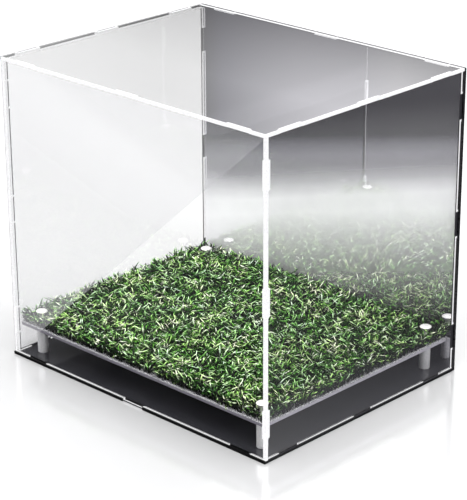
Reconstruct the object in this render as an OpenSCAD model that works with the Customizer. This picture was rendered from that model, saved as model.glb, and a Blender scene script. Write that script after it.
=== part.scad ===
// Football display case: a tab-and-slot case of clear sheet with a mirror back, over a turf
// platform that stands on four standoffs. Sizes are in millimetres.
// The origin is the middle of the base's underside. +X is to the right seen from the front,
// +Y points to the mirror back and +Z is up.

/* [Case] */
// Width of the case, left to right
case_w = 380; // [340:1:420]
// Depth of the case, front to back
case_d = 300; // [270:1:340]
// Height of the case, underside to top
case_h = 340; // [300:1:380]
// Thickness of every sheet
sheet = 3; // [3:0.5:4]
// Edge left outside the slots on the front and the sides
rim = 1.5; // [1:0.5:3]

/* [Tabs] */
// Length of a tab along its edge
tab_len = 30; // [20:1:36]
// From the case's outside to the middle of the end tabs, on level edges
tab_end = 37; // [32:1:45]
// From the case's bottom or top to the middle of the end tabs, on upright edges
tab_end_up = 41; // [32:1:50]
// Gap between a tab and its slot, on each side
slot_gap = 0.15; // [0.1:0.05:0.25]
// How far the bottom tabs stop above the underside
tab_short = 0.2; // [0.1:0.1:0.5]

/* [Platform] */
// Gap between the platform and the walls' inner faces
platform_gap = 2.5; // [2:0.5:6]
// Height of the standoffs
standoff_h = 32; // [26:1:45]
// Diameter of the standoffs
standoff_d = 12; // [10:0.5:14]
// From the case's side to the middle of a standoff
standoff_in_x = 24; // [20:1:40]
// From the case's front or back to the middle of a standoff
standoff_in_y = 22; // [20:1:40]
// Thickness of the turf's woven backing
backing_t = 2; // [1:0.5:3]
// Height of the turf's pile above its backing
pile_h = 10.5; // [6:0.5:16]

/* [Fasteners] */
// Diameter of the screws' threads
thread_d = 5; // [4:0.5:6]
// Diameter of a cap screw's head
cap_d = 13; // [10:0.5:15]
// Height of the domed top of a cap screw's head
cap_dome = 2.2; // [1.5:0.1:3]
// Height of the tapered underside of a cap screw's head
cap_taper = 4; // [2:0.5:5]
// Height of the head's widest ring above the tips of the pile
cap_above_pile = 0.5; // [0:0.5:3]
// How far a screw's thread reaches into a standoff
thread_in = 11; // [6:0.5:12]
// Diameter of a base screw's countersunk head
base_head_d = 9.4; // [8.5:0.1:10]
// Depth of the hexagon socket in a base screw
socket_depth = 1.6; // [1:0.1:2]
// Width of that socket across its corners
socket_w = 3.4; // [2.5:0.1:4]

/* [Hidden] */

$fn = 64;
// Radial play of a screw in a standoff's thread, in a sheet's hole, and of a head in the pile
thread_play = 0.1;
hole_play = 0.3;
pile_play = 1;
// Depth by which a base screw's head sits under the base, and the straight rim of that head
head_sink = 0.3;
head_rim = 0.3;
// Chamfer at a standoff's ends
standoff_chamfer = 0.5;
// How far a cutting tool runs past a face
past = 1;
// Number of steps in the outline of a dome
dome_steps = 10;

front_y = -case_d / 2 + rim;
mirror_y = case_d / 2 - sheet;
side_x = case_w / 2 - rim - sheet;
wall_h = case_h - 2 * sheet;
inner_y0 = front_y + sheet;

x_stops = [-(case_w / 2 - tab_end), 0, case_w / 2 - tab_end];
y_stops = [-(case_d / 2 - tab_end), 0, case_d / 2 - tab_end];
z_stops = [tab_end_up, case_h / 2, case_h - tab_end_up];

platform_z = sheet + standoff_h;
platform_w = 2 * (side_x - platform_gap);
platform_d = 2 * (-inner_y0 - platform_gap);
backing_z = platform_z + sheet;
pile_z = backing_z + backing_t;
cap_z = pile_z + pile_h + cap_above_pile;
post_x = case_w / 2 - standoff_in_x;
post_y = case_d / 2 - standoff_in_y;

clear = [0.86, 0.92, 0.95, 0.3];
black = [0.07, 0.07, 0.08];
mirror_grey = [0.62, 0.64, 0.68];
silver = [0.78, 0.78, 0.80];
white_metal = [0.93, 0.93, 0.92];
turf_green = [0.28, 0.42, 0.16];
backing_grey = [0.16, 0.17, 0.16];

// A bar that gives a wall its bottom tab and its top tab in one piece
module upright_bar(size_x, size_y) {
    translate([-size_x / 2, -size_y / 2, tab_short])
        cube([size_x, size_y, case_h - tab_short]);
}

// A cutter for one slot, centred on its tab
module slot(size) {
    cube([for (s = size) s + 2 * slot_gap], center = true);
}

// A wall across the case's width, with its tabs and the slots for the side walls' tabs
module cross_wall(y0) {
    difference() {
        union() {
            translate([-case_w / 2, y0, sheet])
                cube([case_w, sheet, wall_h]);
            for (x = x_stops)
                translate([x, y0 + sheet / 2, 0])
                    upright_bar(tab_len, sheet);
        }
        for (side = [-1, 1], z = z_stops)
            translate([side * (side_x + sheet / 2), y0 + sheet / 2, z])
                slot([sheet, sheet + past, tab_len]);
    }
}

// A side wall, from its inner face at x0, with tabs on all four edges
module side_wall(x0) {
    translate([x0, inner_y0, sheet])
        cube([sheet, mirror_y - inner_y0, wall_h]);
    for (y = y_stops)
        translate([x0 + sheet / 2, y, 0])
            upright_bar(sheet, tab_len);
    for (z = z_stops)
        translate([x0, front_y, z - tab_len / 2])
            cube([sheet, case_d / 2 - front_y, tab_len]);
}

// The cutters for every slot that a level plate shares with the walls above or below it
module wall_slots(z0) {
    translate([0, 0, z0 + sheet / 2]) {
        for (x = x_stops)
            translate([x, front_y + sheet / 2, 0])
                slot([tab_len, sheet, sheet + past]);
        for (side = [-1, 1], y = y_stops)
            translate([side * (side_x + sheet / 2), y, 0])
                slot([sheet, tab_len, sheet + past]);
        for (x = x_stops)
            translate([x, mirror_y + sheet / 2 + past, 0])
                slot([tab_len, sheet + 2 * past, sheet + past]);
    }
}

// The level plate at height z0, without its screw holes
module slotted_plate(z0) {
    difference() {
        translate([-case_w / 2, -case_d / 2, z0])
            cube([case_w, case_d, sheet]);
        wall_slots(z0);
    }
}

// A plate the size of the platform
module platform_sheet(z0, thickness) {
    translate([-platform_w / 2, -platform_d / 2, z0])
        cube([platform_w, platform_d, thickness]);
}

// What follows, at each of the four standoffs
module at_posts() {
    for (sx = [-1, 1], sy = [-1, 1])
        translate([sx * post_x, sy * post_y, 0])
            children();
}

module base_plate() {
    head_z = head_sink + head_rim;
    flare = base_head_d / 2 - thread_d / 2;
    color(black)
        difference() {
            slotted_plate(0);
            // The front wall's middle tab sits in a notch that is open to the front edge
            translate([0, -case_d / 2, sheet / 2])
                slot([tab_len, 2 * rim, sheet + past]);
            at_posts() {
                translate([0, 0, -past])
                    cylinder(r = thread_d / 2 + thread_play, h = sheet + 2 * past);
                translate([0, 0, -past])
                    cylinder(r = base_head_d / 2 + thread_play, h = head_z + past);
                translate([0, 0, head_z])
                    cylinder(r1 = base_head_d / 2 + thread_play, r2 = thread_d / 2 + thread_play, h = flare);
            }
        }
}

module top_panel() {
    color(clear)
        slotted_plate(case_h - sheet);
}

module front_panel() {
    color(clear)
        cross_wall(front_y);
}

module mirror_panel() {
    color(mirror_grey)
        cross_wall(mirror_y);
}

module left_panel() {
    color(clear)
        side_wall(-side_x - sheet);
}

module right_panel() {
    color(clear)
        side_wall(side_x);
}

module platform_plate() {
    color(black)
        difference() {
            platform_sheet(platform_z, sheet);
            at_posts()
                translate([0, 0, platform_z - past])
                    cylinder(r = thread_d / 2 + hole_play, h = sheet + 2 * past);
        }
}

module turf_backing() {
    color(backing_grey)
        difference() {
            platform_sheet(backing_z, backing_t);
            at_posts()
                translate([0, 0, backing_z - past])
                    cylinder(r = thread_d / 2 + hole_play, h = backing_t + 2 * past);
        }
}

module turf_pile() {
    color(turf_green)
        difference() {
            platform_sheet(pile_z, pile_h);
            at_posts()
                translate([0, 0, pile_z - past])
                    cylinder(r = cap_d / 2 + pile_play, h = pile_h + 2 * past);
        }
}

// A round barrel with chamfered ends and a thread right through it
module standoff(sx, sy) {
    r = standoff_d / 2;
    c = standoff_chamfer;
    bore = thread_d / 2 + thread_play;
    color(silver)
        translate([sx * post_x, sy * post_y, sheet])
            rotate_extrude()
                polygon([
                    [bore, 0], [r - c, 0], [r, c],
                    [r, standoff_h - c], [r - c, standoff_h], [bore, standoff_h]
                ]);
}

// A screw whose head has a domed top and a tapered underside, over a shank that passes
// through the turf and the platform into the standoff's upper end
module cap_screw(sx, sy) {
    r = cap_d / 2;
    shank_r = thread_d / 2;
    tip_z = platform_z - thread_in;
    dome = [for (i = [0 : dome_steps]) let (a = 90 * i / dome_steps)
        [r * cos(a), cap_z + cap_dome * sin(a)]];
    color(white_metal)
        translate([sx * post_x, sy * post_y, 0])
            rotate_extrude()
                polygon(concat(
                    [[0, tip_z], [shank_r, tip_z], [shank_r, cap_z - cap_taper],
                     [shank_r + 1, cap_z - cap_taper]],
                    dome
                ));
}

// A countersunk screw that comes up through the base into the standoff's lower end
module base_screw(sx, sy) {
    r = base_head_d / 2;
    shank_r = thread_d / 2;
    head_z = head_sink + head_rim;
    color(silver)
        translate([sx * post_x, sy * post_y, 0])
            difference() {
                rotate_extrude()
                    polygon([
                        [0, head_sink], [r, head_sink], [r, head_z], [shank_r, head_z + r - shank_r],
                        [shank_r, sheet + thread_in], [0, sheet + thread_in]
                    ]);
                translate([0, 0, head_sink - past])
                    cylinder(d = socket_w, h = socket_depth + past, $fn = 6);
            }
}

base_plate();
front_panel();
left_panel();
right_panel();
mirror_panel();
top_panel();
platform_plate();
turf_backing();
turf_pile();
standoff(-1, -1);  // standoff_front_left
standoff(1, -1);  // standoff_front_right
standoff(-1, 1);  // standoff_back_left
standoff(1, 1);  // standoff_back_right
cap_screw(-1, -1);  // cap_screw_front_left
cap_screw(1, -1);  // cap_screw_front_right
cap_screw(-1, 1);  // cap_screw_back_left
cap_screw(1, 1);  // cap_screw_back_right
base_screw(-1, -1);  // base_screw_front_left
base_screw(1, -1);  // base_screw_front_right
base_screw(-1, 1);  // base_screw_back_left
base_screw(1, 1);  // base_screw_back_right
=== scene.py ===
"""Looks of the football display case: clear acrylic walls with frosted cut edges, a mirror back, a glossy
black base, metal standoffs with domed cap screws, and a turf platform of separate grass blades.
Everything is in metres. +X is to the right seen from the front, +Y points to the mirror, +Z is up."""

import bpy
import math
import numpy as np
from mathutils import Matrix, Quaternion, Vector


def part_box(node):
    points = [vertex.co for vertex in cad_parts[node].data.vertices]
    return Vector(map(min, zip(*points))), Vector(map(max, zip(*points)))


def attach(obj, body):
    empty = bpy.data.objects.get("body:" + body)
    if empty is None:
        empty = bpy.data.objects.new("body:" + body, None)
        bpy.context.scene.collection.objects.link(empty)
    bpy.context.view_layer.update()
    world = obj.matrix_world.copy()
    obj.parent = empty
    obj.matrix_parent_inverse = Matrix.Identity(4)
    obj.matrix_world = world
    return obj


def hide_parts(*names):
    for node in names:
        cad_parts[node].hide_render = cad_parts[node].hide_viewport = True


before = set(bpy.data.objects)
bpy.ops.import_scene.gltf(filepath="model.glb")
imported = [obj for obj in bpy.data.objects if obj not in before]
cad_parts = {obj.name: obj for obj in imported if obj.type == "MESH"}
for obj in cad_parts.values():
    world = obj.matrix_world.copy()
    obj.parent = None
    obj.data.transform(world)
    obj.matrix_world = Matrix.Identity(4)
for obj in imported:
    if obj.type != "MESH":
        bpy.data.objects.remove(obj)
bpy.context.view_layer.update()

MM = 0.001
CORNERS = ["front_left", "front_right", "back_left", "back_right"]

# The camera looks down at the front and the right side.
VIEW_AZIMUTH = math.radians(44.13)
VIEW_ELEVATION = math.radians(21.68)
VIEW_ROLL = math.radians(-0.29)
VIEW_DISTANCE = 2.1023
VIEW_LENS_MM = 141.4
VIEW_SENSOR_MM = 36
VIEW_TARGET = Vector((0.0016, 0.0016, 0.1314))

# The case, as the frame gives it.
BASE_LOW, BASE_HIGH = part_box("base_plate")
TOP_LOW, TOP_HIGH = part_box("top_panel")
FRONT_LOW, FRONT_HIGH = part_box("front_panel")
RIGHT_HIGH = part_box("right_panel")[1]
MIRROR_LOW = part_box("mirror_panel")[0]
PILE_LOW, PILE_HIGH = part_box("turf_pile")
WALL_LOW, WALL_HIGH = BASE_HIGH.z, TOP_LOW.z
HALF_WIDTH = FRONT_HIGH.x
HALF_DEPTH = TOP_HIGH.y
INNER_FRONT = FRONT_HIGH.y
INNER_BACK = MIRROR_LOW.y

# The walls' tabs: their length, and the pitch between the three on one edge.
TAB_LENGTH = 30 * MM
TAB_PITCH_X = HALF_WIDTH - 37 * MM
TAB_PITCH_Y = HALF_DEPTH - 37 * MM
TAB_PITCH_Z = (TOP_HIGH.z - BASE_LOW.z) / 2 - 41 * MM
MIDDLE_Z = (TOP_HIGH.z + BASE_LOW.z) / 2

# A painted glow, standing for light carried inside a clear sheet, shows as a white line this wide to each side
# of a cut edge.
GLOW_LINE = 1.0 * MM
# At the front corners the line fills the strip outside the side wall, and reaches further in at the tabs.
GLOW_CORNER = 3.8 * MM
GLOW_CORNER_TAB = GLOW_CORNER + 1.2 * MM
# In the base's open notch the painted glow line runs at this height, and below it painted shade darkens the
# wall.
NOTCH_LINE = 1.9 * MM
NOTCH_LINE_HALF = 0.6 * MM
NOTCH_SHADE = NOTCH_LINE - 0.5 * MM
# How far a side wall's painted glow lines and dots and its painted dark lines reach from its front and back
# edges.
SIDE_FORE_LINE = 0.7 * MM
SIDE_FORE_TAB = 4 * MM
SIDE_REAR_LINE = INNER_BACK - 1.9 * MM
SIDE_REAR_HALF = 1.0 * MM
DOT_HALF = 1.2 * MM
DOT_FORE = 2.4 * MM
DOT_REAR = 3 * MM
SHADE_FORE = 2.0 * MM
SHADE_REAR = 4.6 * MM
SHADE_LEFT_END = 0.7 * MM
# The same for the top's rim, and the gap that its painted dark line leaves at each end of a tab.
TOP_LINE = 2 * MM
RIM_REAR = 3 * MM
RIM_LEFT = 1.4 * MM
RIM_GAP = 1.5 * MM
# Places this close to a plane count as lying on it.
ON_PLANE = 0.3 * MM
# The mirror is silvered up to the side walls' outer faces.
SILVER_HALF = RIGHT_HIGH.x - 0.1 * MM

# How strongly the marks show, from 0 to 1: the painted glow lines, the painted shade on the top's rims and the
# front's left end, the front's painted milky reflection, and the real dust.
LINE_SHARE = 0.95
RIM_SHADE_SHARE = 0.85
LEFT_END_SHADE_SHARE = 0.6
FRONT_SHEEN_SHARE = 0.26
DUST_SHARE = 0.008

# A face points along an axis where its normal has more than this along it.
MOSTLY = 0.5
# Typical indices of refraction.
ACRYLIC_IOR = 1.49
YARN_IOR = 1.51
# The Mix node's sockets go by number, because their names repeat.
SHARE, NUMBER_A, NUMBER_B, COLOUR_A, COLOUR_B, MIXED_COLOUR = 0, 2, 3, 6, 7, 2


def linear(text):
    """An sRGB hex colour as linear RGB with an alpha of 1."""
    parts = [int(text[i:i + 2], 16) / 255 for i in (1, 3, 5)]
    return tuple(p / 12.92 if p <= 0.04045 else ((p + 0.055) / 1.055) ** 2.4 for p in parts) + (1.0,)


def add(tree, kind, inputs=(), stops=(), **settings):
    """Adds one node with its settings, and sets or links its inputs. They are a list in the order of its
    sockets, or a dict by socket name or number, and a node stands for its first output. A colour ramp's
    stops are pairs of a place and a hex colour."""
    made = tree.nodes.new("ShaderNode" + kind)
    for name, value in settings.items():
        setattr(made, name, value)
    for key, value in inputs.items() if isinstance(inputs, dict) else enumerate(inputs):
        if isinstance(value, bpy.types.Node):
            value = value.outputs[0]
        if isinstance(value, bpy.types.NodeSocket):
            tree.links.new(value, made.inputs[key])
        else:
            made.inputs[key].default_value = value
    while stops and len(made.color_ramp.elements) < len(stops):
        made.color_ramp.elements.new(0.5)
    for index, (where, colour) in enumerate(stops):
        made.color_ramp.elements[index].position = where
        made.color_ramp.elements[index].color = linear(colour)
    return made


def new_material(name):
    """An empty node material and its tree."""
    material = bpy.data.materials.new(name)
    material.use_nodes = True
    material.node_tree.nodes.clear()
    return material, material.node_tree


# ---------------------------------------------------------------- patterns and masks

def place_axes(tree):
    """The X, Y and Z sockets of a place, in object coordinates."""
    return add(tree, "SeparateXYZ", [add(tree, "TexCoord").outputs["Object"]]).outputs


def facing(tree):
    """The X, Y and Z sockets of the way a face points."""
    return add(tree, "SeparateXYZ", [add(tree, "NewGeometry").outputs["True Normal"]]).outputs


def speckle(tree, cell_mm, detail):
    """A cloudy pattern from 0 to 1 with cells of cell_mm, broken up by as many finer ones as detail says."""
    scale = 1 / (cell_mm * MM)
    cells = add(tree, "Mapping", {
        "Vector": add(tree, "TexCoord").outputs["Object"],
        "Scale": (scale, scale, scale),
    })
    return add(tree, "TexNoise", {"Vector": cells, "Scale": 1.0, "Detail": detail})


def near(tree, value, limit, width):
    """1 where value lies within width of limit."""
    offset = add(tree, "Math", [value, limit], operation="SUBTRACT")
    distance = add(tree, "Math", [offset], operation="ABSOLUTE")
    return add(tree, "Math", [distance, width], operation="LESS_THAN")


def both(tree, *masks):
    """1 where every mask is 1."""
    found = masks[0]
    for mask in masks[1:]:
        found = add(tree, "Math", [found, mask], operation="MULTIPLY")
    return found


def either(tree, *masks):
    """1 where any mask is 1."""
    found = masks[0]
    for mask in masks[1:]:
        found = add(tree, "Math", [found, mask], operation="MAXIMUM")
    return found


def off(tree, mask):
    """1 where mask is 0, and 0 where it is 1."""
    return add(tree, "Math", [1.0, mask], operation="SUBTRACT")


def from_tab(tree, along, pitch):
    """How far a place along an edge is from the middle of the nearest of its tabs."""
    distance = add(tree, "Math", [along], operation="ABSOLUTE")
    return add(tree, "Math", [distance, pitch / 2], operation="PINGPONG")


def between_tabs(tree, along, pitch):
    """1 away from the tabs that stand at each whole pitch along an edge, and 0 on them."""
    return add(tree, "Math", [from_tab(tree, along, pitch), TAB_LENGTH / 2], operation="GREATER_THAN")


def height_from_middle(tree, place):
    """Height above the middle of the case, where the middle tabs are."""
    return add(tree, "Math", [place[2], MIDDLE_Z], operation="SUBTRACT")


def faces_front(tree):
    """1 on faces that point to the front."""
    return add(tree, "Math", [facing(tree)[1], -MOSTLY], operation="LESS_THAN")


# ---------------------------------------------------------------- lines on the clear sheets

def wall_line(tree, place, along_axis, pitch):
    """The painted glow lines at a wall's foot and head, broken by the tabs."""
    level = either(tree, near(tree, place[2], WALL_LOW, GLOW_LINE), near(tree, place[2], WALL_HIGH, GLOW_LINE))
    return both(tree, level, between_tabs(tree, place[along_axis], pitch))


def front_line(tree):
    """The front wall's painted glow lines: at its foot and head, in the base's open notch, and in the strips
    outside the side walls, which are wider at the tabs."""
    place = place_axes(tree)
    aside = add(tree, "Math", [place[0]], operation="ABSOLUTE")
    on_tab = off(tree, between_tabs(tree, height_from_middle(tree, place), TAB_PITCH_Z))
    outside = faces_front(tree)
    ends = both(tree, near(tree, aside, HALF_WIDTH, GLOW_CORNER), outside)
    wide = both(tree, near(tree, aside, HALF_WIDTH, GLOW_CORNER_TAB), on_tab, outside)
    notch = both(tree, near(tree, place[0], 0.0, TAB_LENGTH / 2),
                 near(tree, place[2], NOTCH_LINE, NOTCH_LINE_HALF))
    lines = either(tree, ends, wide, notch, wall_line(tree, place, 0, TAB_PITCH_X))
    return both(tree, lines, off(tree, front_shade(tree)))


def front_shade(tree):
    """Painted shade on the front wall: dark below the glow line in the base's open notch, and a dark line down
    its left end.
    """
    place = place_axes(tree)
    foot = add(tree, "Math", [place[2], NOTCH_SHADE], operation="LESS_THAN")
    at_end = near(tree, place[0], -HALF_WIDTH, SHADE_LEFT_END)
    end = add(tree, "Math", [at_end, LEFT_END_SHADE_SHARE], operation="MULTIPLY")
    return either(tree, foot, end)


def front_sheen(tree):
    """A painted reflection: a milky sheen on the outside of the front wall, above the line from its foot on
    the left to its top on the right."""
    place = place_axes(tree)
    from_left = add(tree, "Math", [place[0], HALF_WIDTH], operation="ADD")
    rise = add(tree, "Math", [from_left, WALL_HIGH / (2 * HALF_WIDTH)], operation="MULTIPLY")
    above = add(tree, "Math", [place[2], rise], operation="GREATER_THAN")
    return add(tree, "Math", [both(tree, above, faces_front(tree)), FRONT_SHEEN_SHARE], operation="MULTIPLY")


def side_line(tree):
    """A side wall's painted glow lines: at its foot and head, at its back edge between the tabs, and at its
    front edge, where the right wall's tabs glow further in. A painted glow dot marks each end of each tab."""
    place = place_axes(tree)
    up = height_from_middle(tree, place)
    free = between_tabs(tree, up, TAB_PITCH_Z)
    on_right = add(tree, "Math", [place[0], 0.0], operation="GREATER_THAN")
    rear = both(tree, near(tree, place[1], SIDE_REAR_LINE, SIDE_REAR_HALF), free)
    fore_tab = both(tree, near(tree, place[1], INNER_FRONT, SIDE_FORE_TAB), off(tree, free), on_right)
    fore = either(tree, near(tree, place[1], INNER_FRONT, SIDE_FORE_LINE), fore_tab)
    tab_end = near(tree, from_tab(tree, up, TAB_PITCH_Z), TAB_LENGTH / 2, DOT_HALF)
    dots = both(tree, tab_end, either(tree, near(tree, place[1], INNER_FRONT, DOT_FORE),
                                      near(tree, place[1], INNER_BACK, DOT_REAR)))
    return either(tree, rear, fore, dots, wall_line(tree, place, 1, TAB_PITCH_Y))


def side_joined(tree):
    """A side wall's front end between the tabs, which the front wall covers."""
    return near(tree, place_axes(tree)[1], INNER_FRONT, ON_PLANE)


def side_shade(tree):
    """Painted dark lines beside the side walls' upright edges: at the right wall's back, painted dark standing
    for the mirror's black edge seen through it, and painted shade down the left wall's front."""
    place = place_axes(tree)
    on_right = add(tree, "Math", [place[0], 0.0], operation="GREATER_THAN")
    on_left = add(tree, "Math", [place[0], 0.0], operation="LESS_THAN")
    rear = both(tree, near(tree, place[1], INNER_BACK, SHADE_REAR), on_right)
    fore = both(tree, near(tree, place[1], INNER_FRONT, SHADE_FORE), on_left)
    return either(tree, rear, fore)


def top_line(tree):
    """The top's painted glow lines: along its front, its right and its left, and inside the mirror at its
    back.
    """
    place = place_axes(tree)
    aside = add(tree, "Math", [place[0]], operation="ABSOLUTE")
    sides = near(tree, aside, HALF_WIDTH, TOP_LINE)
    fore = near(tree, place[1], -HALF_DEPTH, TOP_LINE)
    rear = near(tree, place[1], INNER_BACK - TOP_LINE, TOP_LINE)
    return both(tree, either(tree, sides, fore, rear), off(tree, top_shade(tree)))


def top_shade(tree):
    """Painted shade: thin dark lines on the top's left rim and over the mirror, broken at the ends of the
    tabs.
    """
    place = place_axes(tree)
    rims = []
    for rim, along, pitch in ((near(tree, place[1], HALF_DEPTH, RIM_REAR), place[0], TAB_PITCH_X),
                              (near(tree, place[0], -HALF_WIDTH, RIM_LEFT), place[1], TAB_PITCH_Y)):
        tab_end = near(tree, from_tab(tree, along, pitch), TAB_LENGTH / 2, RIM_GAP)
        rims.append(both(tree, rim, off(tree, tab_end)))
    return add(tree, "Math", [either(tree, *rims), RIM_SHADE_SHARE], operation="MULTIPLY")


# ---------------------------------------------------------------- materials

def clear_acrylic(name, thickness_axis, line, shade, gloss_share=1.9, sheen=None, joined=None):
    """Cast acrylic, laser cut. The polished faces let nearly all light through and mirror a little of the
    room, more at a glancing angle. The cut edges are frosted and shine white with a painted glow, which
    stands for light that enters the faces and is carried to them. line(tree) gives where that painted glow
    shows on a face beside an edge, shade(tree) where painted shade darkens the face beside it, sheen(tree)
    where a face carries a painted milky reflection, and joined(tree) the cut edges pressed against another
    sheet, which stay clear. gloss_share is how strongly a face that a ray enters by mirrors: near 2 where it
    stands for both faces."""
    material, tree = new_material(name)
    across = add(tree, "Math", [facing(tree)[thickness_axis]], operation="ABSOLUTE")
    is_cut = add(tree, "Math", [across, MOSTLY], operation="LESS_THAN")
    if joined:
        is_cut = both(tree, is_cut, off(tree, joined(tree)))

    # A faint film of dust and finger marks: cells of 40 mm broken up by cells of 3 mm.
    marks = speckle(tree, 40, detail=3.0)
    dust = both(tree, marks, speckle(tree, 3, detail=2.0))
    dust_and_sheen = add(tree, "Math", [dust, DUST_SHARE], operation="MULTIPLY")
    # Only the face that a ray enters by mirrors, and only it carries the painted glow lines, the painted shade
    # and the painted sheen.
    entering = off(tree, add(tree, "NewGeometry").outputs["Backfacing"])
    # The front's painted milky reflection is added to the dust film.
    if sheen:
        dust_and_sheen = add(tree, "Math", [dust_and_sheen, both(tree, sheen(tree), entering)], operation="ADD")

    # The laser leaves fine upright striae about 0.4 mm apart, drawn at 1.2 mm so that they show.
    striae = speckle(tree, 1.2, detail=2.0)
    # Painted light and shade: the lines glow white by emission, and the dark lines take a near-black tone with
    # no glow.
    lit = add(tree, "Math", [line(tree), LINE_SHARE], operation="MULTIPLY")
    dark = both(tree, shade(tree), off(tree, lit))
    is_dark = add(tree, "Math", [dark, lit], operation="GREATER_THAN")
    frost = add(tree, "ValToRGB", [striae], [(0.3, "#6e6e70"), (0.7, "#8a8a8c")])
    carried = add(tree, "ValToRGB", [striae], [(0.3, "#e8e8ea"), (0.7, "#ffffff")])
    tone = add(tree, "Mix", {SHARE: is_dark, COLOUR_A: frost, COLOUR_B: linear("#242328")}, data_type="RGBA")
    glow = add(tree, "Mix", {SHARE: is_dark, COLOUR_A: carried, COLOUR_B: linear("#000000")}, data_type="RGBA")
    # The frosted cut edges glow by the same emission, a painted light.
    frosted = add(tree, "BsdfPrincipled", {
        "Base Color": tone.outputs[MIXED_COLOUR],
        "Roughness": 0.45,
        "Emission Color": glow.outputs[MIXED_COLOUR],
        "Emission Strength": 0.78,
    })

    see_through = add(tree, "BsdfTransparent", {"Color": linear("#fdfdfd")})
    gloss = add(tree, "BsdfGlossy", {
        "Color": linear("#ffffff"),
        "Roughness": add(tree, "MapRange", {"Value": marks, "To Min": 0.0, "To Max": 0.03}),
    })
    fresnel = both(tree, add(tree, "Fresnel", {"IOR": ACRYLIC_IOR}), entering)
    mirrored = add(tree, "Math", [fresnel, gloss_share], operation="MULTIPLY")
    # The dust film and the painted sheen share one tone, darker towards the top, as painted reflection.
    height = add(tree, "Math", [place_axes(tree)[2], WALL_HIGH], operation="DIVIDE")
    veil_shader = add(tree, "BsdfPrincipled", {
        "Base Color": add(tree, "ValToRGB", [height], [(0.0, "#c4c4c7"), (1.0, "#a7a7aa")]),
        "Roughness": 0.6,
    })
    face = add(tree, "MixShader", [mirrored, see_through, gloss])
    face = add(tree, "MixShader", [dust_and_sheen, face, veil_shader])
    solid = either(tree, is_cut, both(tree, either(tree, lit, dark), entering))
    add(tree, "OutputMaterial", {"Surface": add(tree, "MixShader", [solid, face, frosted])})
    return material


def black_acrylic(name, face, edge, front_edge):
    """Black cast acrylic, laser cut. The faces are a deep polished black that mirrors what stands on them,
    dulled a little by dust. The cut edges are satin. The narrow rim outside the walls is satin too, and takes
    the edges' tone as painted shade. The front and back edges have another tone than the side edges, which
    paints light and shade on them. face, edge and front_edge are pairs of colours."""
    edge_roughness = 0.5
    edge_bump = 0.3
    material, tree = new_material(name)
    normal = facing(tree)
    place = place_axes(tree)
    aside = add(tree, "Math", [place[0]], operation="ABSOLUTE")
    # Painted shade: the narrow rim outside the walls takes the cut edges' tone.
    rim = either(tree, add(tree, "Math", [aside, HALF_WIDTH], operation="GREATER_THAN"),
                 add(tree, "Math", [place[1], FRONT_LOW.y], operation="LESS_THAN"))
    upright = add(tree, "Math", [normal[2]], operation="ABSOLUTE")
    lengthwise = add(tree, "Math", [normal[1]], operation="ABSOLUTE")
    is_cut = either(tree, add(tree, "Math", [upright, MOSTLY], operation="LESS_THAN"), rim)
    # Painted light and shade: the front and back edges take their own tone.
    is_front = add(tree, "Math", [lengthwise, MOSTLY], operation="GREATER_THAN")
    # Dust lies in patches of 6 mm, and the cut edges have striae drawn 1 mm apart so that they show.
    dust = speckle(tree, 6, detail=4.0)
    striae = speckle(tree, 1, detail=2.0)
    edge_tone = add(tree, "Mix", {
        SHARE: is_front,
        COLOUR_A: add(tree, "ValToRGB", [striae], [(0.3, edge[0]), (0.7, edge[1])]),
        COLOUR_B: add(tree, "ValToRGB", [striae], [(0.3, front_edge[0]), (0.7, front_edge[1])]),
    }, data_type="RGBA")
    tone = add(tree, "Mix", {
        SHARE: is_cut,
        COLOUR_A: add(tree, "ValToRGB", [dust], [(0.35, face[0]), (0.75, face[1])]),
        COLOUR_B: edge_tone.outputs[MIXED_COLOUR],
    }, data_type="RGBA")
    polish = add(tree, "MapRange", {"Value": dust, "To Min": 0.02, "To Max": 0.09})
    shader = add(tree, "BsdfPrincipled", {
        "Base Color": tone.outputs[MIXED_COLOUR],
        "Roughness": add(tree, "Mix", {SHARE: is_cut, NUMBER_A: polish, NUMBER_B: edge_roughness}),
        "IOR": ACRYLIC_IOR,
        "Specular IOR Level": 0.2,
        "Normal": add(tree, "Bump", {
            "Height": striae,
            "Distance": 0.02 * MM,
            "Strength": add(tree, "Math", [is_cut, edge_bump], operation="MULTIPLY"),
        }),
    })
    add(tree, "OutputMaterial", {"Surface": shader})
    return material


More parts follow.
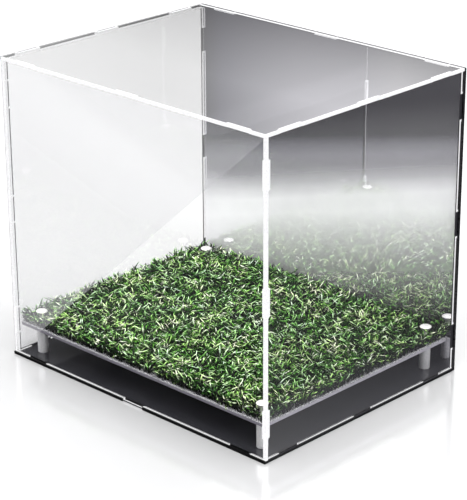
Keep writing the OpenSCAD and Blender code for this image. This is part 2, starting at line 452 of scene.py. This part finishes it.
def mirror_acrylic():
    """Mirror acrylic: silvered behind a polished front face, with a black coat on the back. The front
    mirrors the room with a trace of haze and the slow waviness of sheet plastic, and a painted reflection, a
    glowing milky band, lies across it. Back and edges are black."""
    material, tree = new_material("mirror_acrylic")
    place = place_axes(tree)
    aside = add(tree, "Math", [place[0]], operation="ABSOLUTE")
    inside = add(tree, "Math", [aside, SILVER_HALF], operation="LESS_THAN")
    is_front = both(tree, faces_front(tree), inside)
    # Haze in patches of 30 mm, and waves 90 mm long.
    haze = speckle(tree, 30, detail=3.0)
    silver = add(tree, "BsdfPrincipled", {
        "Base Color": linear("#ecebef"),
        "Metallic": 1.0,
        "Roughness": add(tree, "MapRange", {"Value": haze, "To Min": 0.0, "To Max": 0.03}),
        "Normal": add(tree, "Bump", {
            "Height": speckle(tree, 90, detail=0.0),
            "Distance": 0.02 * MM,
            "Strength": 0.5,
        }),
    })
    # A painted reflection: a band of painted milky light crosses the mirror, rising to the right. It is
    # brightest halfway up, and fades away to the mirror's top and its foot.
    band_rise = 0.285
    band_height = 0.3
    rise = add(tree, "Math", [place[0], band_rise], operation="MULTIPLY")
    level = add(tree, "Math", [place[2], rise], operation="SUBTRACT")
    band = add(tree, "ValToRGB", [add(tree, "Math", [level, band_height], operation="DIVIDE")], [
        (0.0, "#000000"), (0.12, "#5b5b5b"), (0.23, "#959595"), (0.34, "#c5c5c5"), (0.45, "#f0f0f0"),
        (0.51, "#ececec"), (0.57, "#a8a8a8"), (0.63, "#747474"), (0.72, "#505050"), (0.85, "#000000")])
    # The band's painted light: a pale veil that glows a little.
    veil_shader = add(tree, "BsdfPrincipled", {
        "Base Color": add(tree, "ValToRGB", [haze], [(0.3, "#e3e3e6"), (0.7, "#ebebee")]),
        "Roughness": 0.5,
        "Emission Color": linear("#ffffff"),
        "Emission Strength": 0.25,
    })
    front = add(tree, "MixShader", [band, silver, veil_shader])
    # The black coat has a grain of 2 mm.
    grain = speckle(tree, 2, detail=3.0)
    coat = add(tree, "BsdfPrincipled", {
        "Base Color": add(tree, "ValToRGB", [grain], [(0.35, "#09090b"), (0.75, "#18181b")]),
        "Roughness": add(tree, "MapRange", {"Value": grain, "To Min": 0.18, "To Max": 0.4}),
    })
    add(tree, "OutputMaterial", {"Surface": add(tree, "MixShader", [is_front, coat, front])})
    return material


def turned_metal(name, colour, dark, roughness, ring_mm, lacquer):
    """Bright metal turned on a lathe. Fine rings run round each piece, so highlights stretch upright.
    lacquer is the share of the surface that a silver lacquer covers, which looks the same from all sides."""
    uneven = 0.3
    material, tree = new_material(name)
    turns = add(tree, "Math", [place_axes(tree)[2], 2 * math.pi / (ring_mm * MM)], operation="MULTIPLY")
    grain = speckle(tree, 1.5, detail=3.0)
    tone = add(tree, "ValToRGB", [grain], [(0.3, dark), (0.65, colour)])
    normal = add(tree, "Bump", {
        "Height": add(tree, "Math", [turns], operation="SINE"),
        "Distance": 0.01 * MM,
        "Strength": 0.25,
    })
    metal = add(tree, "BsdfPrincipled", {
        "Base Color": tone,
        "Metallic": 1.0,
        "Roughness": add(tree, "MapRange", {
            "Value": grain, "To Min": roughness * (1 - uneven), "To Max": roughness * (1 + uneven),
        }),
        "Normal": normal,
    })
    coat = add(tree, "BsdfPrincipled", {"Base Color": tone, "Roughness": 0.5, "Normal": normal})
    add(tree, "OutputMaterial", {"Surface": add(tree, "MixShader", [lacquer, metal, coat])})
    return material


def latex_backing():
    """Tufted turf backing: a woven black cloth with a white latex coat that shows as flecks along its cut
    edge, threads 2 mm apart."""
    thread_pitch = 2 * MM
    material, tree = new_material("latex_backing")
    place = place_axes(tree)
    threads = []
    for axis in (0, 1):
        turns = add(tree, "Math", [place[axis], 2 * math.pi / thread_pitch], operation="MULTIPLY")
        threads.append(add(tree, "Math", [turns], operation="SINE"))
    grain = speckle(tree, 1, detail=4.0)
    shader = add(tree, "BsdfPrincipled", {
        "Base Color": add(tree, "ValToRGB", [grain], [(0.4, "#20241f"), (0.5, "#77767c"), (0.58, "#e2e2e4")]),
        "Roughness": 0.85,
        "Normal": add(tree, "Bump", {
            "Height": add(tree, "Math", threads, operation="MULTIPLY"),
            "Distance": 0.2 * MM,
            "Strength": 1.0,
        }),
    })
    add(tree, "OutputMaterial", {"Surface": shader})
    return material


def grass_yarn(name, stops):
    """Extruded polyethylene grass yarn. Each blade has one tone from stops, streaked along its length and
    shifted a little in patches of 28 mm. A painted shade darkens it towards its root. It has a waxy satin
    shine."""
    material, tree = new_material(name)
    tone = add(tree, "Attribute", attribute_name="tone").outputs["Fac"]
    rise = add(tree, "Attribute", attribute_name="rise").outputs["Fac"]
    streak = speckle(tree, 1.2, detail=2.0)
    patch = speckle(tree, 28, detail=1.0)
    for pattern, shift in ((streak, 0.12), (patch, 0.22)):
        moved = add(tree, "MapRange", {"Value": pattern, "To Min": -shift, "To Max": shift})
        tone = add(tree, "Math", [tone, moved], operation="ADD")
    # Painted shade: the rise ramp darkens each blade towards its root, and the patches tint its hue.
    root_shade_and_tint = add(tree, "Mix", {
        SHARE: 1.0,
        COLOUR_A: add(tree, "ValToRGB", [rise], [
            (0.0, "#050704"), (0.4, "#3c4038"), (0.75, "#eeeeec"), (1.0, "#ffffff")]),
        COLOUR_B: add(tree, "ValToRGB", [patch], [(0.38, "#e4f4f0"), (0.62, "#fbffe4")]),
    }, data_type="RGBA", blend_type="MULTIPLY")
    shaded = add(tree, "Mix", {
        SHARE: 1.0,
        COLOUR_A: add(tree, "ValToRGB", [tone], stops),
        COLOUR_B: root_shade_and_tint.outputs[MIXED_COLOUR],
    }, data_type="RGBA", blend_type="MULTIPLY")
    shader = add(tree, "BsdfPrincipled", {
        "Base Color": shaded.outputs[MIXED_COLOUR],
        "Roughness": add(tree, "MapRange", {"Value": streak, "To Min": 0.38, "To Max": 0.6}),
        "IOR": YARN_IOR,
        "Specular IOR Level": 0.15,
    })
    add(tree, "OutputMaterial", {"Surface": shader})
    return material


def dress(nodes, material):
    """Gives CAD nodes one material."""
    for name in nodes:
        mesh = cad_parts[name].data
        mesh.materials.clear()
        mesh.materials.append(material)


def at_corners(kind):
    """The names of the four nodes of one kind, one at each corner of the platform."""
    return [f"{kind}_{corner}" for corner in CORNERS]


dress(["front_panel"], clear_acrylic(
    "clear_acrylic_front", 1, front_line, front_shade, gloss_share=0.45, sheen=front_sheen))
dress(["left_panel", "right_panel"], clear_acrylic(
    "clear_acrylic_side", 0, side_line, side_shade, joined=side_joined))
dress(["top_panel"], clear_acrylic("clear_acrylic_top", 2, top_line, top_shade))
dress(["base_plate"], black_acrylic(
    "black_acrylic_base", face=("#303034", "#333338"), edge=("#050506", "#0d0d0f"),
    front_edge=("#050506", "#0d0d0f")))
# The platform's side edges are painted lighter than its front and back edges: painted light and shade.
dress(["platform_plate"], black_acrylic(
    "black_acrylic_platform", face=("#0b0b0d", "#141417"), edge=("#86838d", "#aeabb5"),
    front_edge=("#4c4a51", "#716e78")))
dress(["mirror_panel"], mirror_acrylic())
dress(["turf_backing"], latex_backing())
dress(at_corners("standoff"), turned_metal(
    "polished_aluminium", "#f8f8f9", "#dedee2", roughness=0.16, ring_mm=0.6, lacquer=0.5))
dress(at_corners("cap_screw"), turned_metal(
    "nickel_plate", "#fbfbf8", "#eceae6", roughness=0.3, ring_mm=0.5, lacquer=0.4))
dress(at_corners("base_screw"), turned_metal(
    "zinc_plated_steel", "#b9b8b4", "#8d8d8c", roughness=0.35, ring_mm=0.4, lacquer=0.0))


# ---------------------------------------------------------------- turf

# Blades may lean this far past the platform's edge, which leaves the walls clear.
OVERHANG = 1.2 * MM
# No blade is rooted this close to a cap screw. Those within the next ring are short and stay under its
# head, and those within the widest lean away from it, with this share of their own heading.
STEM_CLEAR = 3.2 * MM
HEAD_CLEAR = 9.0 * MM
HEAD_LENGTH = 5.5 * MM
LEAN_AWAY = 17.0 * MM
OWN_HEADING = 0.3
# Past the head a blade may be this long, and longer by this share of its distance from the screw.
FREE_LENGTH = 6 * MM
LENGTH_GAIN = 0.35

# A blade's rings, the share of its width that is gone at its tip, and how far its ridge stands up as a
# share of its half width.
BLADE_RINGS = 4
TAPER = 0.7
RIDGE = 0.5


def blade_mesh(name, roots, heading, turn, lean, bend, length, width, twist, tone, material):
    """One mesh of many blades, each a closed three-sided prism that narrows to a point.
    Along a blade, s runs from 0 to 1. Its lean from upright is lean + bend * s and its heading is
    heading + turn * s, so its centre line is root + length * the running sum of
    (sin lean cos heading, sin lean sin heading, cos lean). The cross-section is a flat triangle whose
    width is width * (1 - TAPER * s squared), turned about the centre line by twist * s."""
    count = len(roots)
    mid = (np.arange(BLADE_RINGS) + 0.5) / BLADE_RINGS
    ends = np.arange(BLADE_RINGS + 1) / BLADE_RINGS

    def direction(s):
        angle = lean[:, None] + bend[:, None] * s
        around = heading[:, None] + turn[:, None] * s
        side = np.sin(angle)
        return np.stack([side * np.cos(around), side * np.sin(around), np.cos(angle)], 2)

    path = np.zeros((count, BLADE_RINGS + 1, 3))
    path[:, 1:] = np.cumsum(direction(mid), axis=1) * (length / BLADE_RINGS)[:, None, None]
    path += roots[:, None, :]
    limit = np.array([PILE_HIGH.x + OVERHANG, PILE_HIGH.y + OVERHANG])
    path[:, :, :2] = np.clip(path[:, :, :2], -limit, limit)

    tangent = direction(ends)
    around = heading[:, None] + turn[:, None] * ends
    flat = np.stack([-np.sin(around), np.cos(around), np.zeros_like(around)], 2)
    upper = np.cross(tangent, flat)
    spin = (twist[:, None] * ends)[:, :, None]
    across = flat * np.cos(spin) + upper * np.sin(spin)
    ridge = upper * np.cos(spin) - flat * np.sin(spin)
    half = (width[:, None] * (1 - TAPER * ends ** 2) / 2)[:, :, None]
    rings = np.stack([path - across * half, path + across * half, path + ridge * half * RIDGE], 2)

    # Each blade's corners are three to a ring, and one at its tip.
    ring_points = rings[:, :BLADE_RINGS].reshape(count, BLADE_RINGS * 3, 3)
    points = np.concatenate([ring_points, path[:, BLADE_RINGS:]], 1)
    per_blade = BLADE_RINGS * 3 + 1
    faces = [(0, 2, 1)]
    for ring in range(BLADE_RINGS - 1):
        for k in range(3):
            a, b = ring * 3 + k, ring * 3 + (k + 1) % 3
            faces += [(a, b, b + 3), (a, b + 3, a + 3)]
    last = (BLADE_RINGS - 1) * 3
    faces += [(last + k, last + (k + 1) % 3, per_blade - 1) for k in range(3)]
    faces = (np.array(faces)[None] + (np.arange(count) * per_blade)[:, None, None]).reshape(-1, 3)

    mesh = bpy.data.meshes.new(name)
    mesh.vertices.add(count * per_blade)
    mesh.vertices.foreach_set("co", points.astype(np.float32).ravel())
    mesh.loops.add(faces.size)
    mesh.loops.foreach_set("vertex_index", faces.astype(np.int32).ravel())
    mesh.polygons.add(len(faces))
    mesh.polygons.foreach_set("loop_start", np.arange(0, faces.size, 3, dtype=np.int32))
    mesh.polygons.foreach_set("loop_total", np.full(len(faces), 3, dtype=np.int32))
    rise = np.concatenate([np.repeat(ends[:BLADE_RINGS], 3), [1.0]])
    for label, values in (("tone", np.repeat(tone, per_blade)), ("rise", np.tile(rise, count))):
        mesh.attributes.new(label, "FLOAT", "POINT").data.foreach_set("value", values.astype(np.float32))
    mesh.update(calc_edges=True)
    mesh.validate()
    mesh.materials.append(material)
    piece = bpy.data.objects.new(name, mesh)
    bpy.context.scene.collection.objects.link(piece)
    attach(piece, "base")
    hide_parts("turf_pile")
    return piece


def scatter(rng, count, low, high):
    """Roots at random over a rectangle, clear of the cap screws' stems. For each it also gives how far the
    nearest screw is, and the heading away from it."""
    flat = [rng.uniform(low[axis], high[axis], count) for axis in (0, 1)]
    roots = np.stack(flat + [PILE_LOW.z * np.ones(count)], 1)
    screws = np.array([(box[0] + box[1]) / 2 for box in map(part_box, at_corners("cap_screw"))])
    offset = roots[:, None, :2] - screws[None, :, :2]
    nearest = np.linalg.norm(offset, axis=2).argmin(1)
    offset = offset[np.arange(count), nearest]
    distance = np.linalg.norm(offset, axis=1)
    keep = distance > STEM_CLEAR
    return roots[keep], distance[keep], np.arctan2(offset[:, 1], offset[:, 0])[keep]


def grow(name, rng, count, low, high, kind, material):
    """Grows one section of turf of one kind of yarn. kind gives the ranges for the blades' shape."""
    roots, distance, outward = scatter(rng, count, low, high)
    kept = len(roots)

    def between(key):
        return rng.uniform(*kind[key], kept)

    length = between("length") * MM
    lean = np.radians(between("lean"))
    longest = np.where(distance < HEAD_CLEAR, HEAD_LENGTH, FREE_LENGTH + LENGTH_GAIN * distance)
    length = np.minimum(length, longest)
    roots[:, 2] += between("rise") * MM * (distance >= HEAD_CLEAR)
    heading = rng.uniform(-np.pi, np.pi, kept)
    heading = np.where(distance < LEAN_AWAY, outward + heading * OWN_HEADING, heading)
    return blade_mesh(
        name, roots, heading, np.radians(between("turn")), lean,
        np.radians(between("bend")), length, between("width") * MM, np.radians(between("twist")),
        rng.uniform(0, 1, kept) ** kind["bias"], material)


# Ranges of a blade's length, width and root height in mm, and of its angles in degrees. A high bias makes
# dark blades common. Upright blades make the pile, fallen ones lie across its top, and curled thatch fills
# it in below. The upright blades' high bias and the fallen ones' low bias darken the pile's depth and
# lighten its top, as painted light and shade.
UPRIGHT = {"length": (10.5, 16), "lean": (6, 40), "bend": (10, 85), "turn": (-50, 50), "width": (1.1, 1.8),
           "twist": (-110, 110), "rise": (0, 0.5), "bias": 2.2}
FALLEN = {"length": (11, 18), "lean": (42, 76), "bend": (0, 35), "turn": (-60, 60), "width": (1.5, 2.2),
          "twist": (-60, 60), "rise": (4, 9), "bias": 0.6}
THATCH = {"length": (9, 15), "lean": (20, 60), "bend": (60, 200), "turn": (-220, 220), "width": (0.8, 1.1),
          "twist": (-60, 60), "rise": (1, 5), "bias": 1.0}
GREENS = [(0.0, "#010400"), (0.32, "#081b02"), (0.52, "#23560c"), (0.67, "#65a73c"), (0.83, "#cdf2a6"),
          (1.0, "#ffffff")]
STRAW = [(0.0, "#050d03"), (0.5, "#35601c"), (1.0, "#b6d488")]

# The turf's sections, the seed that places its blades, and each kind's number of blades in a section.
COLUMNS, ROWS = 3, 2
SEED = 7
YARNS = {
    "upright": (UPRIGHT, 4200, GREENS),
    "fallen": (FALLEN, 1900, GREENS),
    "thatch": (THATCH, 600, STRAW),
}
THINNED = 1

yarn_materials = {name: grass_yarn("grass_yarn_" + name, stops) for name, (_, _, stops) in YARNS.items()}
rng = np.random.default_rng(SEED)
turf_pieces = []
xs = np.linspace(PILE_LOW.x, PILE_HIGH.x, COLUMNS + 1)
ys = np.linspace(PILE_LOW.y, PILE_HIGH.y, ROWS + 1)
for column in range(COLUMNS):
    for row in range(ROWS):
        low, high = (xs[column], ys[row]), (xs[column + 1], ys[row + 1])
        for name, (kind, count, _) in YARNS.items():
            turf_pieces.append(grow(f"turf_{name}_{column + 1}_{row + 1}", rng, count // THINNED, low, high,
                                    kind, yarn_materials[name]))


# ---------------------------------------------------------------- studio

FLOOR_HALF = 8.0
FLOOR_HEIGHT = -0.3 * MM
CARD_HEIGHT = -0.6 * MM
# The card behind the case: its two ends, its distance, its foot and its head.
WALL_CARD_X = (-1.3, -0.05)
WALL_CARD_Y = 0.6
WALL_CARD_Z = (0.45, 0.8)
# The way the lamps shine.
LAMP_AIM = Vector((-0.3, 0.35, -0.9))
# How bright the sky is overhead, against 1 at the horizon.
OVERHEAD_STRENGTH = 2.3


def studio_surface(name, corners, material):
    """One flat four-cornered surface of the studio, not part of the object."""
    mesh = bpy.data.meshes.new(name)
    mesh.from_pydata(corners, [], [(0, 1, 2, 3)])
    mesh.materials.append(material)
    made = bpy.data.objects.new(name, mesh)
    bpy.context.scene.collection.objects.link(made)
    return made


def floor_square(height):
    """The corners of a level square round the origin."""
    return [(x * FLOOR_HALF, y * FLOOR_HALF, height) for x, y in ((-1, -1), (1, -1), (1, 1), (-1, 1))]


def floor_paint():
    """A floor painted white, with a soft sheen."""
    material, tree = new_material("white_floor")
    paint = add(tree, "BsdfDiffuse", {"Color": linear("#c9c9ca")})
    varnish = add(tree, "BsdfGlossy", {"Color": linear("#ffffff"), "Roughness": 0.13})
    varnish_share = 0.3
    add(tree, "OutputMaterial", {"Surface": add(tree, "MixShader", [varnish_share, paint, varnish])})
    return material


def reflected_floor():
    """What the mirror and the walls show of the floor: stripes of grey in front of the case, from dark near
    it to light and dark again, white at its left, and at its right a light grey that dims towards the back
    and away from the case."""
    material, tree = new_material("reflected_floor")
    place = place_axes(tree)
    diagonal = add(tree, "Math", [place[0], place[1]], operation="ADD")
    ahead = add(tree, "Math", [diagonal, -1.0], operation="MULTIPLY")
    stripes = add(tree, "ValToRGB", [ahead], [
        (0.36, "#303034"), (0.46, "#a0a0a4"), (0.51, "#aaa9ae"), (0.57, "#8f8e94"),
        (0.63, "#8a898f"), (0.69, "#94939a"), (0.75, "#808086"), (0.81, "#4d4c50")])
    back = add(tree, "MapRange", {"Value": place[1], "From Min": BASE_LOW.y, "From Max": BASE_HIGH.y})
    away = add(tree, "MapRange", {
        "Value": place[0], "From Min": BASE_HIGH.x + 60 * MM, "From Max": BASE_HIGH.x + 95 * MM,
    })
    right = add(tree, "Mix", {
        SHARE: away,
        COLOUR_A: add(tree, "ValToRGB", [back], [(0.0, "#d6d6da"), (0.4, "#b0b0b6"), (1.0, "#7c7b82")]),
        COLOUR_B: linear("#5a5a5d"),
    }, data_type="RGBA")
    on_right = add(tree, "Math", [place[0], BASE_HIGH.x], operation="GREATER_THAN")
    on_left = add(tree, "Math", [place[0], BASE_LOW.x], operation="LESS_THAN")
    fade = add(tree, "MapRange", {
        "Value": place[1], "From Min": BASE_LOW.y, "From Max": BASE_LOW.y + 110 * MM,
    })
    colour = add(tree, "Mix", {
        SHARE: on_right, COLOUR_A: stripes, COLOUR_B: right.outputs[MIXED_COLOUR],
    }, data_type="RGBA")
    colour = add(tree, "Mix", {
        SHARE: both(tree, on_left, fade), COLOUR_A: colour.outputs[MIXED_COLOUR], COLOUR_B: linear("#f6f6f8"),
    }, data_type="RGBA")
    light = add(tree, "Emission", {"Color": colour.outputs[MIXED_COLOUR], "Strength": 1.0})
    add(tree, "OutputMaterial", {"Surface": light})
    return material


def reflected_wall():
    """What the top shows of the studio: a wall behind the case, dim at its left and bright at its right,
    and brighter higher up."""
    material, tree = new_material("reflected_wall")
    place = place_axes(tree)
    across = add(tree, "MapRange", {"Value": place[0], "From Min": -1.0, "From Max": -0.2})
    tone = add(tree, "ValToRGB", [across], [
        (0.0, "#979797"), (0.22, "#8c8c8c"), (0.3, "#888888"), (0.44, "#898989"),
        (0.5, "#9f9fa4"), (0.69, "#cfced3"), (0.83, "#e6e5ea"), (0.92, "#fdfcff")])
    upwards = add(tree, "MapRange", {
        "Value": place[2], "From Min": 0.5, "From Max": 0.61, "To Min": 0.68, "To Max": 2.02,
    })
    add(tree, "OutputMaterial", {"Surface": add(tree, "Emission", {"Color": tone, "Strength": upwards})})
    return material


def far_lamp(name, energy, angle):
    """A far lamp that shines down from the front right, angle degrees across."""
    data = bpy.data.lights.new(name, "SUN")
    data.energy = energy
    data.angle = math.radians(angle)
    made = bpy.data.objects.new(name, data)
    made.rotation_mode = "QUATERNION"
    made.rotation_quaternion = LAMP_AIM.to_track_quat("-Z", "Y")
    bpy.context.scene.collection.objects.link(made)
    return made


# The floor shows the case's reflection but isn't itself reflected. Two cards, which only reflections show,
# stand for the studio's floor and wall instead.
floor = studio_surface("floor", floor_square(FLOOR_HEIGHT), floor_paint())
floor.visible_glossy = False
left, right = WALL_CARD_X
foot, head = WALL_CARD_Z
wall_corners = [(left, WALL_CARD_Y, foot), (right, WALL_CARD_Y, foot),
                (right, WALL_CARD_Y, head), (left, WALL_CARD_Y, head)]
for card in (studio_surface("reflection_card_floor", floor_square(CARD_HEIGHT), reflected_floor()),
             studio_surface("reflection_card_wall", wall_corners, reflected_wall())):
    card.visible_camera = False
    card.visible_diffuse = False
    card.visible_transmission = False
    card.visible_shadow = False

far_lamp("window_light", energy=0.9, angle=25)
# A crisper lamp on the turf alone, so that blades stand out from the gaps between them.
turf_lamp = far_lamp("turf_light", energy=5.5, angle=14)
turf_lamp.light_linking.receiver_collection = bpy.data.collections.new("turf_light_receivers")
for piece in turf_pieces:
    turf_lamp.light_linking.receiver_collection.objects.link(piece)

# The sky is white where the camera sees it, and brighter overhead for everything that it lights.
world = bpy.data.worlds.new("studio_white")
world.use_nodes = True
sky_tree = world.node_tree
upward = add(sky_tree, "SeparateXYZ", [add(sky_tree, "TexCoord").outputs["Generated"]]).outputs[2]
brighter = add(sky_tree, "MapRange", {
    "Value": upward, "From Min": 0.45, "From Max": 0.65, "To Min": 0.0, "To Max": OVERHEAD_STRENGTH - 1.0,
})
unseen = off(sky_tree, add(sky_tree, "LightPath").outputs["Is Camera Ray"])
strength = add(sky_tree, "Math", [1.0, both(sky_tree, unseen, brighter)], operation="ADD")
sky = sky_tree.nodes["Background"]
sky.inputs["Color"].default_value = linear("#ffffff")
sky_tree.links.new(strength.outputs[0], sky.inputs["Strength"])
scene = bpy.context.scene
scene.world = world
scene.view_settings.view_transform = "Standard"
scene.cycles.transparent_max_bounces = 32

camera_data = bpy.data.cameras.new("camera")
camera_data.lens = VIEW_LENS_MM
camera_data.sensor_width = VIEW_SENSOR_MM
camera = bpy.data.objects.new("camera", camera_data)
scene.collection.objects.link(camera)
scene.camera = camera
back = Vector((
    math.sin(VIEW_AZIMUTH) * math.cos(VIEW_ELEVATION),
    -math.cos(VIEW_AZIMUTH) * math.cos(VIEW_ELEVATION),
    math.sin(VIEW_ELEVATION),
))
camera.location = VIEW_TARGET + back * VIEW_DISTANCE
camera.rotation_mode = "QUATERNION"
camera.rotation_quaternion = (-back).to_track_quat("-Z", "Y") @ Quaternion(Vector((0, 0, 1)), VIEW_ROLL)
